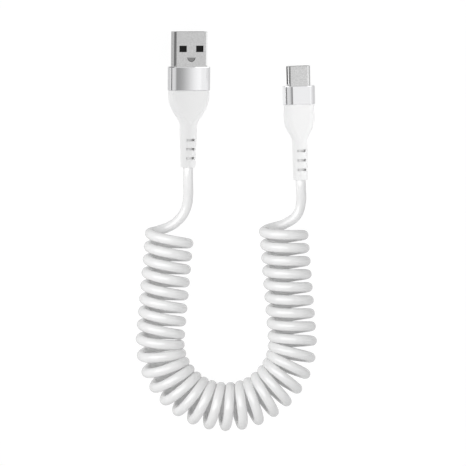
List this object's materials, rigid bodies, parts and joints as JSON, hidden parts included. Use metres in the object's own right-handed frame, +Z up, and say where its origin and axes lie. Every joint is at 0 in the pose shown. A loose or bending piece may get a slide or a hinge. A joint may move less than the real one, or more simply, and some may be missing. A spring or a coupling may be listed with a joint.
{
  "type": "coiled usb charging cable",
  "caption": "Curly white charging cable laid in a horseshoe, with a USB-A plug at one end and a USB-C plug at the other, each with a metal collar and a slotted boot.",
  "frame": {"origin": "on the table, below the middle of the box round the two plugs", "axes": "+Z up from the table, +Y from the cord's bend towards the plugs' tips, +X from the USB-A plug to the USB-C plug"},
  "size_m": [0.0622, 0.137, 0.0168],
  "materials": {
    "shell_steel": "nickel-plated, satin",
    "collar_metal": "smooth satin",
    "white_boot": "matt soft plastic",
    "white_cord": "satin soft plastic",
    "black_plastic": "matt",
    "gold_contact": "gold-plated",
    "inner_mould": "matt",
    "board_green": "lacquered",
    "resistor_black": "matt",
    "wire_red": "satin",
    "wire_white": "satin",
    "wire_green": "satin",
    "wire_black": "satin"
  },
  "bodies": {
    "root": {"coil": "white_cord", "tail_a": "white_cord", "tail_c": "white_cord", "usb_a_boot": "white_boot", "usb_a_collar": "collar_metal", "usb_a_contact_data_minus": "gold_contact", "usb_a_contact_data_plus": "gold_contact", "usb_a_contact_ground": "gold_contact", "usb_a_contact_vbus": "gold_contact", "usb_a_inner_mould": "inner_mould", "usb_a_insulator": "black_plastic", "usb_a_shell": "shell_steel", "usb_a_wire_data_minus": "wire_white", "usb_a_wire_data_plus": "wire_green", "usb_a_wire_ground": "wire_black", "usb_a_wire_vbus": "wire_red", "usb_c_board": "board_green", "usb_c_boot": "white_boot", "usb_c_collar": "collar_metal", "usb_c_contacts_lower": "gold_contact", "usb_c_contacts_upper": "gold_contact", "usb_c_housing": "black_plastic", "usb_c_inner_mould": "inner_mould", "usb_c_latch": "shell_steel", "usb_c_resistor": "resistor_black", "usb_c_shell": "shell_steel", "usb_c_wire_data_minus": "wire_white", "usb_c_wire_data_plus": "wire_green", "usb_c_wire_ground": "wire_black", "usb_c_wire_vbus": "wire_red"}
  },
  "joints": []
}
